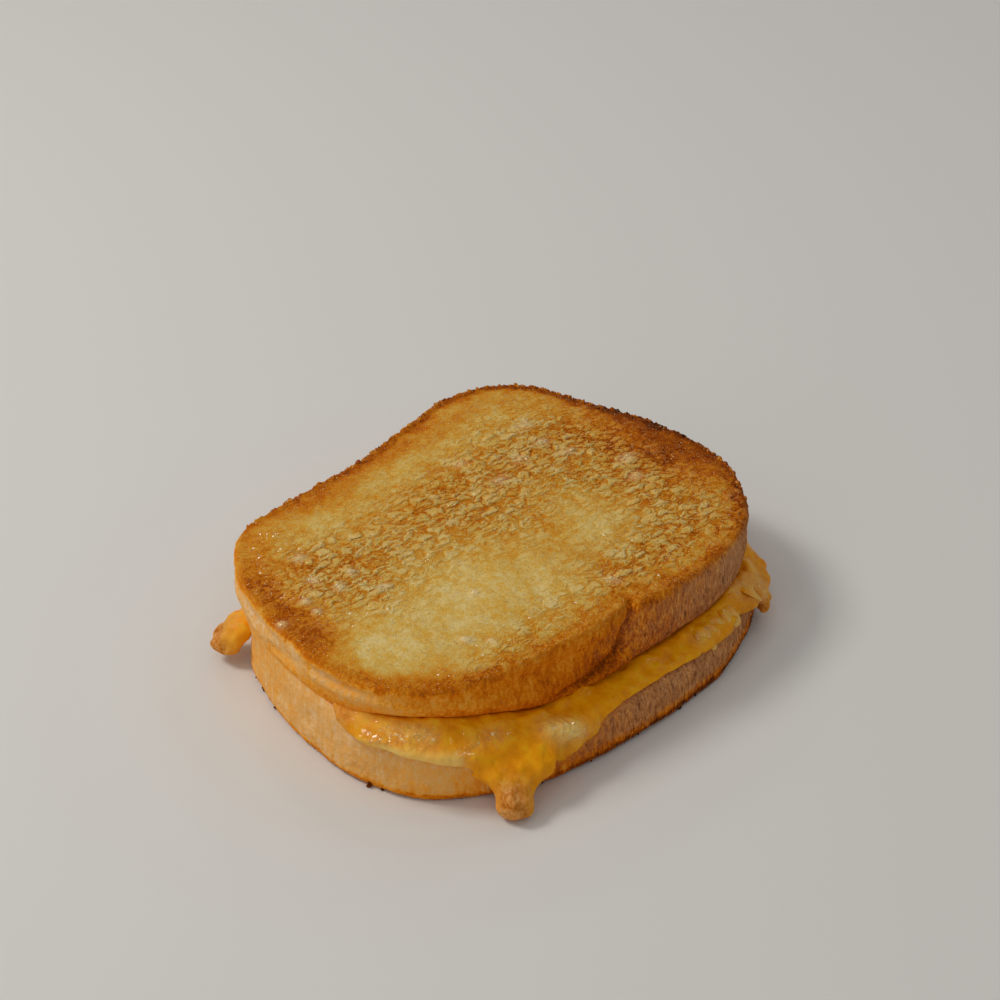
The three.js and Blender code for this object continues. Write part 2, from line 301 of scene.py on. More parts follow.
breadLook = {
    # colours from pale to burnt, on a toasted face and on the crust round it
    "faceStops": [
        (0.00, screen(230, 204, 136)),
        (0.18, screen(218, 182, 96)),
        (0.38, screen(212, 152, 52)),
        (0.56, screen(200, 118, 16)),
        (0.72, screen(160, 76, 4)),
        (0.88, screen(98, 42, 8)),
        (1.00, screen(46, 22, 10)),
    ],
    "crustStops": [
        (0.00, screen(246, 210, 166)),
        (0.20, screen(238, 180, 102)),
        (0.38, screen(246, 162, 46)),
        (0.50, screen(230, 128, 10)),
        (0.62, screen(198, 98, 6)),
        (0.74, screen(150, 70, 4)),
        (0.90, screen(92, 42, 10)),
        (1.00, screen(44, 22, 12)),
    ],
    "rosyStops": [
        (0.00, screen(244, 206, 168)),
        (0.35, screen(216, 162, 112)),
        (0.60, screen(186, 124, 76)),
        (0.78, screen(134, 80, 46)),
        (0.92, screen(84, 42, 26)),
        (1.00, screen(40, 22, 16)),
    ],
    "flakeTone": screen(242, 188, 108),
    "flakeShare": 0.6,
    # pale of the glassy bubbles: their own paler crumb, and partly a painted highlight
    "blisterTone": screen(248, 214, 168),
    "oilTint": (1.0, 0.86, 0.5),
    "grainTurn": 82,  # flakes run this way, in degrees from +X
    "flakes": [(2.4, 4.4, 0.8), (1.3, 2.4, 0.5), (0.75, 1.2, 0.35)],  # width, length and weight of each size
    "flakeHeight": 0.44,
    "gritHeight": 0.3,
    "fineHeight": 0.1,
    "poreHeight": 0.22,
    "wrinkleHeight": 0.5,
    "layerHeight": 0.12,
    "faceLumps": 0.3,
    "crustLumps": 0.5,
    "cragHeight": 1.0,
    "blisterHeight": 0.45,
    "cornerHeight": 1.3,  # how far the corner round a toasted face is crisped outwards
    "roundedHeight": 3,  # of the side, rounded off at both ends together
    "bumpStrength": 0.9,
    # facets of butter
    "facetSize": 0.6,
    "facetTilt": 1.0,
    # painted glints: small bright specks painted into the colour, more of them where the limit is lower
    "glintTone": screen(255, 224, 146),
    "glintSize": 0.55,
    "glintLimit": 0.15,
    "roughness": 0.62,
    "wetRoughness": 0.3,
    "specular": 0.03,
    "coatRoughness": 0.12,
    "coatIor": 1.65,
}
crumbAttributes = (
    # browned also carries the painted shade and highlight of the crease
    "browned",  # how far toasted, 0 to 1
    "rosy",  # a cooler, pinkish brown
    "wet",  # with butter
    "rough",  # crumb that stands up in flakes
    "onFace",  # 1 on a toasted face, 0 on the crust
    "wrinkled",  # shrunken crust
    "craggy",  # burnt crumbly rim
    "edge",  # nearness to the rim of the toasted face
    "rimTone",  # how far that rim is toasted
    "blister",  # a glassy bubble
)


def flakes(spot, size, shift):
    # scales of crumb with cracks between them: how high one stands here, its own number and its slope
    width, length = size
    cell = spot.vector("MULTIPLY", (1 / width, 1 / length, 0)).vector("ADD", (shift, shift, 0))
    wobble = spot.node("TexNoise", {}, {"Vector": cell, "Scale": 1.8, "Detail": 3}).also("Color")
    cell = cell.vector("ADD", wobble.vector("SUBTRACT", (0.5, 0.5, 0.5)).vector("MULTIPLY", (0.9, 0.9, 0)))
    near = spot.node("TexVoronoi", {"voronoi_dimensions": "2D"}, {"Vector": cell, "Scale": 1})
    settings = {"voronoi_dimensions": "2D", "feature": "DISTANCE_TO_EDGE"}
    crack = spot.node("TexVoronoi", settings, {"Vector": cell, "Scale": 1})
    own = near.also("Color")
    dome = crack.between(0.0, 0.3)
    lean = cell.vector("SUBTRACT", near.also("Position"))
    return dome, own.part(1), lean.part(0) * 0.7 - lean.part(1) * 0.7


def facets(spot, size, tilt, share):
    # small facets of butter that each lean their own way: 1 where there is one, and their relief
    cell = spot.vector("MULTIPLY", (1 / size, 1 / size, 1 / size))
    near = spot.node("TexVoronoi", {}, {"Vector": cell, "Scale": 1})
    own = near.also("Color")
    lean = cell.vector("SUBTRACT", near.also("Position"))
    way = own.vector("SUBTRACT", (0.5, 0.5, 0.5))
    relief = spot.node("VectorMath", {"operation": "DOT_PRODUCT"}, {0: lean, 1: way}, "Value") * size * tilt
    wet = (share - own.part(2)).between(0, 0.05) * (1 - near.between(0.4, 0.55))
    return wet, relief * wet


def crumbFields(wire, look):
    # the height of the crumb and of the crust, with what the colours are made from
    place = wire.place()
    onFace, rough, wrinkled, craggy, blister = (
        wire.attribute(name) for name in ("onFace", "rough", "wrinkled", "craggy", "blister")
    )
    warp = wire.node("TexNoise", {}, {"Vector": place, "Scale": 0.3, "Detail": 1}).also("Color")
    bent = place.vector("ADD", warp.vector("SUBTRACT", (0.5, 0.5, 0.5)).vector("MULTIPLY", (3, 3, 0)))
    angle = math.radians(90 - look["grainTurn"])
    turned = wire.node("VectorRotate", {"rotation_type": "Z_AXIS"}, {"Vector": bent, "Angle": angle})
    stand = 0
    slope = 0
    scales = []
    for i, (width, length, weight) in enumerate(look["flakes"]):
        dome, own, lean = flakes(turned, (width, length), 3.3 + 4 * i)
        scales.append(dome * (own - 0.48).between(0, 0.3))
        stand = dome * own * weight + stand
        slope = dome * lean * weight + slope
    fine = place.grain(0.42, 1)
    pores = place.grain(0.9, 2, 0.6)
    lumps = place.grain(4.5, 2)
    grit = place.grain(0.8, 3, 0.7)
    face = (stand + slope * 0.7 - 0.4) * rough * look["flakeHeight"]
    face = face + grit * (rough * 0.6 + 0.4) * look["gritHeight"] + fine * look["fineHeight"]
    face = face + lumps * look["faceLumps"]
    wrinkles = place.grain((0.6, 0.6, 2.6), 3, 0.65)
    layers = place.grain((9, 9, 1.3), 2)
    crust = wrinkles * wrinkled * look["wrinkleHeight"] + layers * look["layerHeight"]
    crust = crust + pores * look["poreHeight"] + lumps * look["crustLumps"]
    crag = wire.math("ABSOLUTE", place.grain(1.7, 2, 0.6)) * 1.6 + place.grain(2.6, 2) - 0.15
    height = crust.toward(face, onFace) + craggy * crag * look["cragHeight"] + blister * look["blisterHeight"]
    return {
        "height": height, "onFace": onFace, "rough": rough, "wrinkles": wrinkles * wrinkled, "stand": stand,
        "slope": slope, "grit": grit, "pores": pores, "fine": fine, "place": place, "crag": crag * craggy,
        "blister": blister, "paleScale": scales[0] + scales[1] * 0.6,
    }


def toastMaterial(name, look):
    material, wire = newMaterial(name)
    fields = crumbFields(wire, look)
    rough, onFace, stand, blister = fields["rough"], fields["onFace"], fields["stand"], fields["blister"]
    place, grit, pores, fine = fields["place"], fields["grit"], fields["pores"], fields["fine"]
    clouds = place.grain(5, 3, 0.6)
    patches = place.grain(2.2, 3, 0.65)
    ragged = place.grain(1.6, 3, 0.7)
    speckle = place.grain(0.55, 2, 0.7)
    streaks = place.grain((1.3, 1.3, 6), 3, 0.6)
    # how brown it is: paler on what stands up and darker in the cracks, down one slope of each flake and in
    # the hollows of the wrinkled crust and its pores, partly the crumb's own colour and partly painted shade
    crack = (0.5 - stand).between(0, 0.4)
    faceTone = rough * (crack * 0.25 - stand * 0.26 - 0.02 - fields["slope"] * 0.16)
    faceTone = faceTone + patches * 0.3 + clouds * 0.3
    faceTone = faceTone - grit * 0.4 - blister * 0.2 + speckle * (rough * 0.2 + 0.3)
    crustTone = fields["wrinkles"] * -1.0 - pores * 0.25 + clouds * 0.3 + streaks * 0.4 + speckle * 0.1
    fringe = wire.attribute("edge") + ragged * 0.6 + place.grain(5, 2) * 0.7 + grit * 0.25
    browned = wire.attribute("browned")
    darkest = wire.math("MAXIMUM", browned, wire.attribute("rimTone"))
    browned = browned.toward(darkest, fringe.between(0.1, 0.9))
    tone = browned + crustTone.toward(faceTone, onFace) + fine * 0.2 - fields["crag"] * 0.2
    onTop = wire.node("ValToRGB", {"stops": look["faceStops"]}, {"Fac": tone})
    side = wire.node("ValToRGB", {"stops": look["crustStops"]}, {"Fac": tone})
    rosy = wire.node("ValToRGB", {"stops": look["rosyStops"]}, {"Fac": tone})
    rosyShare = (wire.attribute("rosy") + streaks * 0.8 + clouds * 0.5).between(0.1, 1.0)
    colour = side.blend(rosy, rosyShare).blend(onTop, onFace)
    # butter soaks in between the flakes, and some flakes stay pale
    oily = place.grain(1.3, 3, 0.65) + place.grain(5, 2) * 1.2 - grit * 0.3
    oily = oily.between(-0.15, 0.25) * onFace
    raised = (stand - 0.5).between(0, 0.8) * rough
    colour = colour.blend(look["oilTint"], oily * (1 - raised * 0.8), "MULTIPLY")
    paleScale = fields["paleScale"] * rough * (grit + 0.5)
    colour = colour.blend(look["flakeTone"], paleScale * look["flakeShare"] * onFace)
    # the glassy bubbles are painted pale: their own paler crumb, and partly a painted highlight
    colour = colour.blend(look["blisterTone"], blister * (grit * 1.5 + 0.55))
    # painted glints: bright specks painted into the face's colour, more of them on the glassy bubbles
    paintedGlint = place.grain(look["glintSize"], 2, 0.8) + clouds * 0.15 + blister * 0.15
    paintedGlint = (paintedGlint - look["glintLimit"]).between(0, 0.05)
    colour = colour.blend(look["glintTone"], paintedGlint * onFace)
    shader = shaderOf(material)
    wire.plug(shader["Base Color"], colour)
    # the butter's gloss, less of it on dark toast
    shine = wire.attribute("wet") + blister + fields["paleScale"] * rough * 0.2
    shine = shine - (tone - 0.5).between(0, 0.2) * 0.2
    film, facetRelief = facets(place, look["facetSize"], look["facetTilt"], shine)
    wire.plug(shader["Roughness"], look["roughness"] - film * (look["roughness"] - look["wetRoughness"]))
    wire.plug(shader["Coat Weight"], film)
    shader["Specular IOR Level"].default_value = look["specular"]
    shader["Coat Roughness"].default_value = look["coatRoughness"]
    shader["Coat IOR"].default_value = look["coatIor"]
    relief = fields["height"] + facetRelief
    bump = wire.node("Bump", {}, {"Height": relief, "Distance": mm, "Strength": look["bumpStrength"]})
    wire.plug(shader["Normal"], bump)
    return material


faceLook = {
    # how brown a toasted face is, and soft ovals that are paler or browner:
    # x and y from the middle of the slice, half width, half height, turn, amount
    "base": 0.36,
    "tones": [
        [14, -27, 20, 25, 0, -0.26], [12, -52, 9, 9, 0, -0.22], [-36, 2, 6, 14, 0, -0.18],
        [-34, -27, 9, 9, 0, -0.16], [-34, 40, 8, 12, 0, -0.18], [20, 17, 10, 8, 0, -0.2],
        [5, 25, 8, 6, 0, -0.1], [28, -8, 8, 8, 0, -0.12], [-30, 20, 6, 8, 0, -0.06],
        [5, 62, 28, 8, 0, 0.36], [10, 52, 11, 7, 0, 0.22], [-8, 49, 14, 8, 0, 0.14],
        [26, 50, 12, 9, 0, 0.12], [-15, -57, 17, 6, -10, 0.32], [0, -58, 7, 5, 0, 0.24],
        [-32, -50, 10, 6, -30, 0.18], [26, -57, 7, 4, 30, 0.3], [35, -45, 4, 8, -20, 0.16],
        [-16, 5, 10, 34, 5, 0.03], [-12, -40, 12, 9, 0, 0.08], [38, 12, 5, 30, 0, 0.1],
        [-42, 8, 5, 34, 0, 0.16], [-43, -22, 6, 14, 0, 0.16], [-36, 46, 6, 9, -30, 0.12],
    ],
    # where the crumb stands up in rough flakes
    "flaky": [
        [-14, 6, 17, 40, 5, 1.1], [-15, -38, 17, 13, 0, 1.0], [0, 38, 28, 13, 0, 1.0],
        [34, 20, 10, 30, 0, 1.0], [34, -30, 6, 18, 0, 0.6], [12, 40, 16, 10, 0, 0.5],
        [5, 5, 14, 12, 0, 0.4],
    ],
    # glassy bubbles
    "blisters": [
        [-27, -40, 1.3, 1.6, 0, 0.9], [-18, -44, 1.5, 1.1, 0, 1], [-11, -42, 1.3, 1.3, 0, 0.9],
        [-3, -35, 1.1, 1.5, 0, 0.9], [-13, -36, 1.2, 1.0, 0, 0.8], [25, -37, 1.6, 1.0, 20, 1],
        [15, -23, 1.1, 1.1, 0, 0.8], [-13.5, -51, 1.2, 1.0, 0, 1], [-8.7, -51.8, 1.0, 0.9, 0, 1],
        [-12.3, -59.6, 1.1, 0.9, 0, 0.8], [29.8, -33.2, 1.0, 0.9, 0, 0.8], [-25, 40, 1.6, 2.2, 0, 0.7],
        [-16, 37, 1.4, 2.0, 0, 0.7], [-8, 38, 1.6, 2.0, 0, 0.6], [5, 46, 1.8, 2.4, 0, 0.6],
        [12, 41, 1.6, 2.0, 0, 0.6], [-15, 27, 1.5, 2.0, 0, 0.6], [-12, 16, 1.5, 2.2, 0, 0.6],
        [-25, 15, 1.4, 1.8, 0, 0.6], [36, 3, 1.8, 1.1, 30, 0.8],
    ],
}
topLook = {
    "faceSize": 0.5,
    "softening": 4,
    "hiddenBeyond": 8,  # further in from the rim than this, what lies on the cheese is one face
    "fringe": 2.5,  # how far down the side the rim's browning runs
    "middle": (-2.1, -0.4),
    "uprightPart": (19, 26),  # heights between which the side stands upright
    # round the slice: angle, browning at the rim, half way and at the seam,
    # rosy, wet, wrinkles, crags of the rim
    "crust": [
        [-150, 0.60, 0.24, 0.26, 0.2, 0.2, 0.2, 0.9],
        [-130, 0.46, 0.15, 0.24, 0.1, 0.2, 0.1, 0.4],
        [-112, 0.52, 0.15, 0.28, 0.1, 0.2, 0.1, 0.5],
        [-98, 0.60, 0.17, 0.36, 0.0, 0.3, 0.1, 0.5],
        [-84, 0.56, 0.22, 0.42, 0.0, 0.4, 0.1, 0.5],
        [-70, 0.57, 0.28, 0.46, 0.0, 0.5, 0.1, 0.5],
        [-58, 0.62, 0.42, 0.50, 0.0, 0.6, 0.1, 0.4],
        [-46, 0.54, 0.50, 0.52, 0.0, 0.6, 0.1, 0.3],
        [-28, 0.52, 0.52, 0.56, 0.0, 0.6, 0.2, 0.3],
        [-12, 0.54, 0.55, 0.62, 0.2, 0.5, 0.5, 0.3],
        [4, 0.58, 0.55, 0.62, 0.45, 0.4, 0.9, 0.3],
        [24, 0.56, 0.53, 0.58, 0.7, 0.3, 1.0, 0.3],
        [42, 0.60, 0.50, 0.56, 0.9, 0.2, 1.0, 0.4],
        [60, 0.74, 0.60, 0.60, 0.4, 0.2, 0.6, 0.8],
        [90, 0.84, 0.66, 0.60, 0.2, 0.2, 0.4, 1.0],
        [125, 0.74, 0.60, 0.54, 0.1, 0.2, 0.4, 1.0],
        [150, 0.68, 0.48, 0.44, 0.0, 0.2, 0.3, 1.0],
        [180, 0.66, 0.40, 0.38, 0.1, 0.2, 0.3, 0.9],
    ],
    # the crease down the right side, as y and z, and the y and the least x between which it works
    "fold": [(1.6, 31), (-0.6, 26), (-4.5, 20), (-9, 17), (-14, 15.2), (-23, 14.6)],
    "foldAlong": (-32, 14),
    "foldOut": 25,
    "foldLip": 1.3,
    "foldGroove": 1.0,
    "foldHollow": 0.6,
}
bottomLook = {
    "faceSize": 0.5,
    "softening": 4,
    "hiddenBeyond": 8,
    "fringe": 0.6,
    "middle": (4.9, -1.0),
    "uprightPart": (4, 9),
    "crust": [
        [-150, 0.56, 0.22, 0.24, 0.2, 0.2, 0.2, 0.4],
        [-130, 0.40, 0.26, 0.24, 0.2, 0.2, 0.1, 0.2],
        [-112, 0.44, 0.23, 0.25, 0.1, 0.2, 0.1, 0.3],
        [-96, 0.46, 0.20, 0.20, 0.2, 0.2, 0.1, 0.4],
        [-80, 0.44, 0.22, 0.18, 0.2, 0.3, 0.1, 0.4],
        [-62, 0.50, 0.28, 0.24, 0.1, 0.3, 0.1, 0.4],
        [-46, 0.60, 0.42, 0.38, 0.1, 0.3, 0.2, 0.4],
        [-28, 0.76, 0.56, 0.52, 0.5, 0.3, 0.5, 0.5],
        [-10, 0.78, 0.56, 0.52, 0.75, 0.2, 0.9, 0.6],
        [12, 0.80, 0.55, 0.51, 0.8, 0.2, 1.0, 0.6],
        [40, 0.80, 0.55, 0.51, 0.8, 0.2, 1.0, 0.6],
        [70, 0.82, 0.56, 0.52, 0.3, 0.2, 0.6, 0.6],
        [120, 0.82, 0.52, 0.46, 0.1, 0.2, 0.4, 0.6],
        [180, 0.74, 0.42, 0.36, 0.1, 0.2, 0.3, 0.5],
    ],
}
jointLook = {
    # round the sandwich: angle, height of the seam, how far each slice reaches over it, share
    "seam": [
        [-160, 13.4, 2, 0], [-142, 13.5, 2.5, 0], [-133, 13.6, 3.4, 1], [-129, 13.7, 3.4, 1],
        [-120, 14.5, 3.6, 1], [-112, 16.2, 2.6, 1], [-100, 16.8, 2, 0.8], [-88, 17, 2, 0.6],
        [-79, 17.4, 1.5, 0.4], [-70, 17.8, 1, 0],
    ],
    "blend": 7,  # over this height above and below the seam one slice's side passes into the other's
    "depth": 9,  # further in than this nothing moves
}


def besideLine(across, up, line):
    # distance to a line of points that runs down, above 0 where across is larger than on the line
    best = 1e9
    for (a0, u0), (a1, u1) in zip(line, line[1:]):
        da, du = a1 - a0, u1 - u0
        t = min(1.0, max(0.0, ((across - a0) * da + (up - u0) * du) / (da * da + du * du)))
        gap = math.hypot(across - a0 - t * da, up - u0 - t * du)
        if gap < abs(best):
            side = (across - a0) * du - (up - u0) * da
            best = gap if side < 0 else -gap
    return best


def besideFold(spot, look):
    # distance to the crease, or None away from it and on a slice without one
    if "fold" not in look or spot.x <= look["foldOut"]:
        return None
    first, last = look["foldAlong"]
    return besideLine(spot.y, spot.z, look["fold"]) if first < spot.y < last else None


def foldMove(beside, look):
    # right of the crease the crust stands out in a lip, left of it lies a groove and then a hollow
    lip = look["foldLip"] * ramp(-0.4, 0.4, beside) * bell(beside - 0.4, 5)
    groove = look["foldGroove"] * bell(beside + 0.9, 1.0)
    return lip - groove - look["foldHollow"] * ramp(0.5, 2, -beside) * bell(beside + 3, 5)


def paintedFoldShading(beside, spot):
    # painted shade in the groove and in the hollow at its foot, and a painted highlight along the lip
    hollow = bell(spot.z - 15.5, 3) * bell(spot.y + 12, 8)
    return 0.1 * (bell(beside + 0.9, 0.8) - bell(beside - 0.7, 0.6) + hollow)


def sideOf(piece, heights):
    # makes a function that gives how far a spot lies outside a slice's side, in plan, and which way is out
    low, high = heights
    upright = [v for v in piece.data.vertices if abs(v.normal.z) < 0.4 and low < v.co.z / mm < high]
    wall = [(v.co / mm, v.normal.copy()) for v in upright]
    tree = kdtree.KDTree(len(wall))
    for i, (place, _) in enumerate(wall):
        tree.insert(Vector((place.x, place.y, 0)), i)
    tree.balance()

    def outside(spot):
        place, normal = wall[tree.find(Vector((spot.x, spot.y, 0)))[1]]
        out = Vector((normal.x, normal.y, 0)).normalized()
        return (spot - place).dot(out), out

    return outside


def angleOf(spot, middle):
    return math.degrees(math.atan2(spot.y - middle[1], spot.x - middle[0]))


def jointMove(spot, level, walls, look):
    # lets this slice's side run on over the seam, where it passes from one slice's side to the other's
    seam, reach, share = around(look["seam"], angleOf(spot, topLook["middle"]))
    blend = look["blend"]
    above = level * (spot.z - seam)
    if not share or above > blend + 2:
        return Vector()
    beyond = {side: wall(spot) for side, wall in walls.items()}
    depth = max(0.0, -beyond[level][0])
    if depth > look["depth"]:
        return Vector()
    down = min(depth * 1.3, reach) * (1 - ramp(reach, look["depth"], depth)) * (1 - ramp(2, 5, above))
    upper = ramp(seam - blend, seam + blend, spot.z - level * down)
    out = -mix(beyond[-1][0], beyond[1][0], upper) * (1 - ramp(reach, reach + 2, depth))
    out *= 1 - ramp(blend - 3, blend + 2, above)
    return share * (beyond[level][1] * out - Vector((0, 0, level * down)))


def breadMesh(mesh=None):
    # a bmesh with the attributes that the toast reads
    bm = bmesh.new()
    if mesh:
        bm.from_mesh(mesh)
    for name in crumbAttributes:
        bm.verts.layers.float.new(name)
    return bm


def paint(bm, verts, valuesOf):
    # valuesOf gives the attributes that aren't 0
    layers = {name: bm.verts.layers.float[name] for name in crumbAttributes}
    for vert in verts:
        values = valuesOf(vert)
        for name, layer in layers.items():
            vert[layer] = values.get(name, 0)


def shapeSlice(piece, node, look, level, walls):
    # level is 1 for the slice whose toasted face is up and -1 for the one that lies on it
    low, high = (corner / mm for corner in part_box(node))
    bm = breadMesh(piece.data)
    bm.normal_update()
    rim = [vert.co for vert in bm.verts if 0.35 < level * vert.normal.z < 0.75]
    tree = kdtree.KDTree(len(rim))
    for i, point in enumerate(rim):
        tree.insert(Vector((point.x, point.y, 0)), i)
    tree.balance()

    def fromRim(spot):
        return tree.find(Vector((spot.x * mm, spot.y * mm, 0)))[2] / mm

    def isHidden(centre, normal):
        return level * normal.z < -0.6 and fromRim(centre) > look["hiddenBeyond"]

    closeHidden(bm, isHidden)
    bm.normal_update()
    faceZ = high.z if level > 0 else low.z
    wallHeight = high.z - low.z - breadLook["roundedHeight"]

    def valuesAt(vert):
        spot = vert.co / mm
        up = level * vert.normal.z
        angle = angleOf(spot, look["middle"])
        rimBrown, midBrown, seamBrown, rosy, wet, wrinkled, crags = around(look["crust"], angle)
        inwards = fromRim(spot)
        onFace = ramp(0.3, 0.8, up)
        x, y = spot.x - look["middle"][0], spot.y - look["middle"][1]
        tone = faceLook["base"] + blot(x, y, faceLook["tones"])
        below = abs(spot.z - faceZ)
        side = mix(midBrown, seamBrown, ramp(0.45, 0.85, min(1.0, below / wallHeight)))
        beside = besideFold(spot, look)
        # the crease gets painted shade in its groove and a painted highlight on its lip
        if beside is not None:
            side += paintedFoldShading(beside, spot)
        # the rim's browning fades out down the side and in over the face
        edge = mix(math.exp(-max(0.0, below - 2.2) / look["fringe"]), math.exp(-inwards / 3.0), onFace)
        return {
            "browned": mix(side, tone, onFace),
            "rosy": rosy * ramp(2, 5, below),
            "wet": mix(wet * 0.05, 0.2, onFace * (1 - edge)),
            "rough": min(1.0, blot(x, y, faceLook["flaky"])),
            "onFace": onFace,
            "wrinkled": wrinkled,
            "craggy": crags * bell(inwards, 1.6) * ramp(-0.2, 0.3, up),
            "edge": edge,
            "rimTone": rimBrown,
            "blister": min(1.0, blot(x, y, faceLook["blisters"])) * onFace,
        }

    paint(bm, bm.verts, valuesAt)
    moves = []
    for vert in bm.verts:
        spot = vert.co / mm
        up = level * vert.normal.z
        out = vert.normal * breadLook["cornerHeight"] * max(0.0, 4 * up * (0.95 - up))
        out += jointMove(spot, level, walls, jointLook)
        beside = besideFold(spot, look)
        if beside is not None:
            out += vert.normal * foldMove(beside, look) * (1 - ramp(0.5, 0.9, up)) * ramp(-0.6, -0.1, up)
        moves.append(vert.co + out * mm)
    for vert, place in zip(bm.verts, moves):
        vert.co = place
    bm.to_mesh(piece.data)
    bm.free()
    addRelief(piece, crumbFields, breadLook)


toasted = toastMaterial("toastedBread", breadLook)
topSlice = workingCopy("bread_top", "topSlice", topLook)
bottomSlice = workingCopy("bread_bottom", "bottomSlice", bottomLook)
plainWalls = {
    1: sideOf(topSlice, topLook["uprightPart"]),
    -1: sideOf(bottomSlice, bottomLook["uprightPart"]),
}
shapeSlice(topSlice, "bread_top", topLook, 1, plainWalls)
shapeSlice(bottomSlice, "bread_bottom", bottomLook, -1, plainWalls)
finishPiece(topSlice, "bread_top", toasted)
finishPiece(bottomSlice, "bread_bottom", toasted)


# loose crumbs on the bread

crumbLook = {
    "seed": 7,
    "rimCrumbs": 800,
    "rimCrumbSize": (0.4, 1.05),  # radius
    "burntCrumbs": 60,
    "burntCrumbSize": (0.15, 0.35),
    # large dark bits at the foot, as angle about the slice's middle and radius
    "burntBits": [(-119, 0.8), (-112, 0.6), (-79, 0.9), (-76, 0.7), (7, 0.7), (14, 0.6), (-141, 0.5)],
    "ragged": 0.5,
    "fineAbove": 0.7,  # a crumb of this radius or more has more faces
    "batch": 30,  # crumbs made at a time, which is quicker than all at once
}


def addCrumbs(name, crumbs, look):
    # a crumb is its radii, turn, place and toast
    draw = random.Random(look["seed"])
    heap = breadMesh()
    for first in range(0, len(crumbs), look["batch"]):
        bm = breadMesh()
        for radii, turn, place, toast in crumbs[first:first + look["batch"]]:
            level = 1 if max(radii) < look["fineAbove"] else 2
            made = bmesh.ops.create_icosphere(bm, subdivisions=level, radius=1)["verts"]
            for vert in made:
                vert.co *= 1 + look["ragged"] * (draw.random() - 0.5)
            matrix = Matrix.Translation(place) @ turn.to_4x4() @ Matrix.Diagonal((*radii, 1))
            bmesh.ops.transform(bm, matrix=Matrix.Scale(mm, 4) @ matrix, verts=made)
            paint(bm, made, lambda vert: toast)
        mesh = bpy.data.meshes.new("batch")
        bm.to_mesh(mesh)
        bm.free()
        heap.from_mesh(mesh)
        bpy.data.meshes.remove(mesh)
    keepInBox(heap)
    mesh = bpy.data.meshes.new(name)
    heap.to_mesh(mesh)
    heap.free()
    finishPiece(addObject(name, mesh), None, toasted)


def anyTurn(draw):
    return Euler([draw.uniform(0, 6.3) for _ in range(3)]).to_matrix()


def rimCrumbs(piece, look):
    # the burnt crumbly rim of the upper slice
    draw = random.Random(look["seed"] + 1)
    edge = piece.data.attributes["edge"].data
    rim = [v for v in piece.data.vertices if 0.3 < v.normal.z < 0.85 and edge[v.index].value > 0.6]
    small, large = look["rimCrumbSize"]
    crumbs = []
    while len(crumbs) < look["rimCrumbs"]:
        vert = draw.choice(rim)
        browned, *_, crags = around(topLook["crust"], angleOf(vert.co / mm, topLook["middle"]))
        if draw.random() > ramp(0.65, 0.95, crags):
            continue
        radius = mix(small, large, draw.random() ** 1.5) * mix(0.7, 1.1, crags)
        radii = (radius, radius * draw.uniform(0.6, 1), radius * draw.uniform(0.5, 0.9))
        toast = {"browned": browned + draw.uniform(-0.25, 0.12), "onFace": 1, "wet": 0.5}
        place = vert.co / mm - vert.normal * radius * 0.45  # sunk nearly half way in
        crumbs.append((radii, anyTurn(draw), place, toast))
    addCrumbs("rimCrumbs", crumbs, look)


def burntCrumbs(piece, look):
    # dark bits round the foot of the lower slice
    draw = random.Random(look["seed"] + 2)
    foot = [v for v in piece.data.vertices if -0.9 < v.normal.z < -0.4 and v.co.z < 3 * mm]
    spots = [(draw.choice(foot), draw.uniform(*look["burntCrumbSize"])) for _ in range(look["burntCrumbs"])]

    def turnFrom(vert, angle):
        return abs((angleOf(vert.co / mm, bottomLook["middle"]) - angle + 180) % 360 - 180)

    for angle, radius in look["burntBits"]:
        spots.append((min(foot, key=lambda vert: turnFrom(vert, angle)), radius))
    crumbs = []
    for vert, radius in spots:
        radii = (radius, radius * draw.uniform(0.5, 0.9), radius * draw.uniform(0.4, 0.8))
        place = vert.co / mm + vert.normal * radius * 0.4
        place.z = max(place.z, radius * 0.9)
        crumbs.append((radii, anyTurn(draw), place, {"browned": draw.uniform(0.8, 1)}))
    addCrumbs("burntCrumbs", crumbs, look)


rimCrumbs(topSlice, crumbLook)
burntCrumbs(bottomSlice, crumbLook)


# cheese

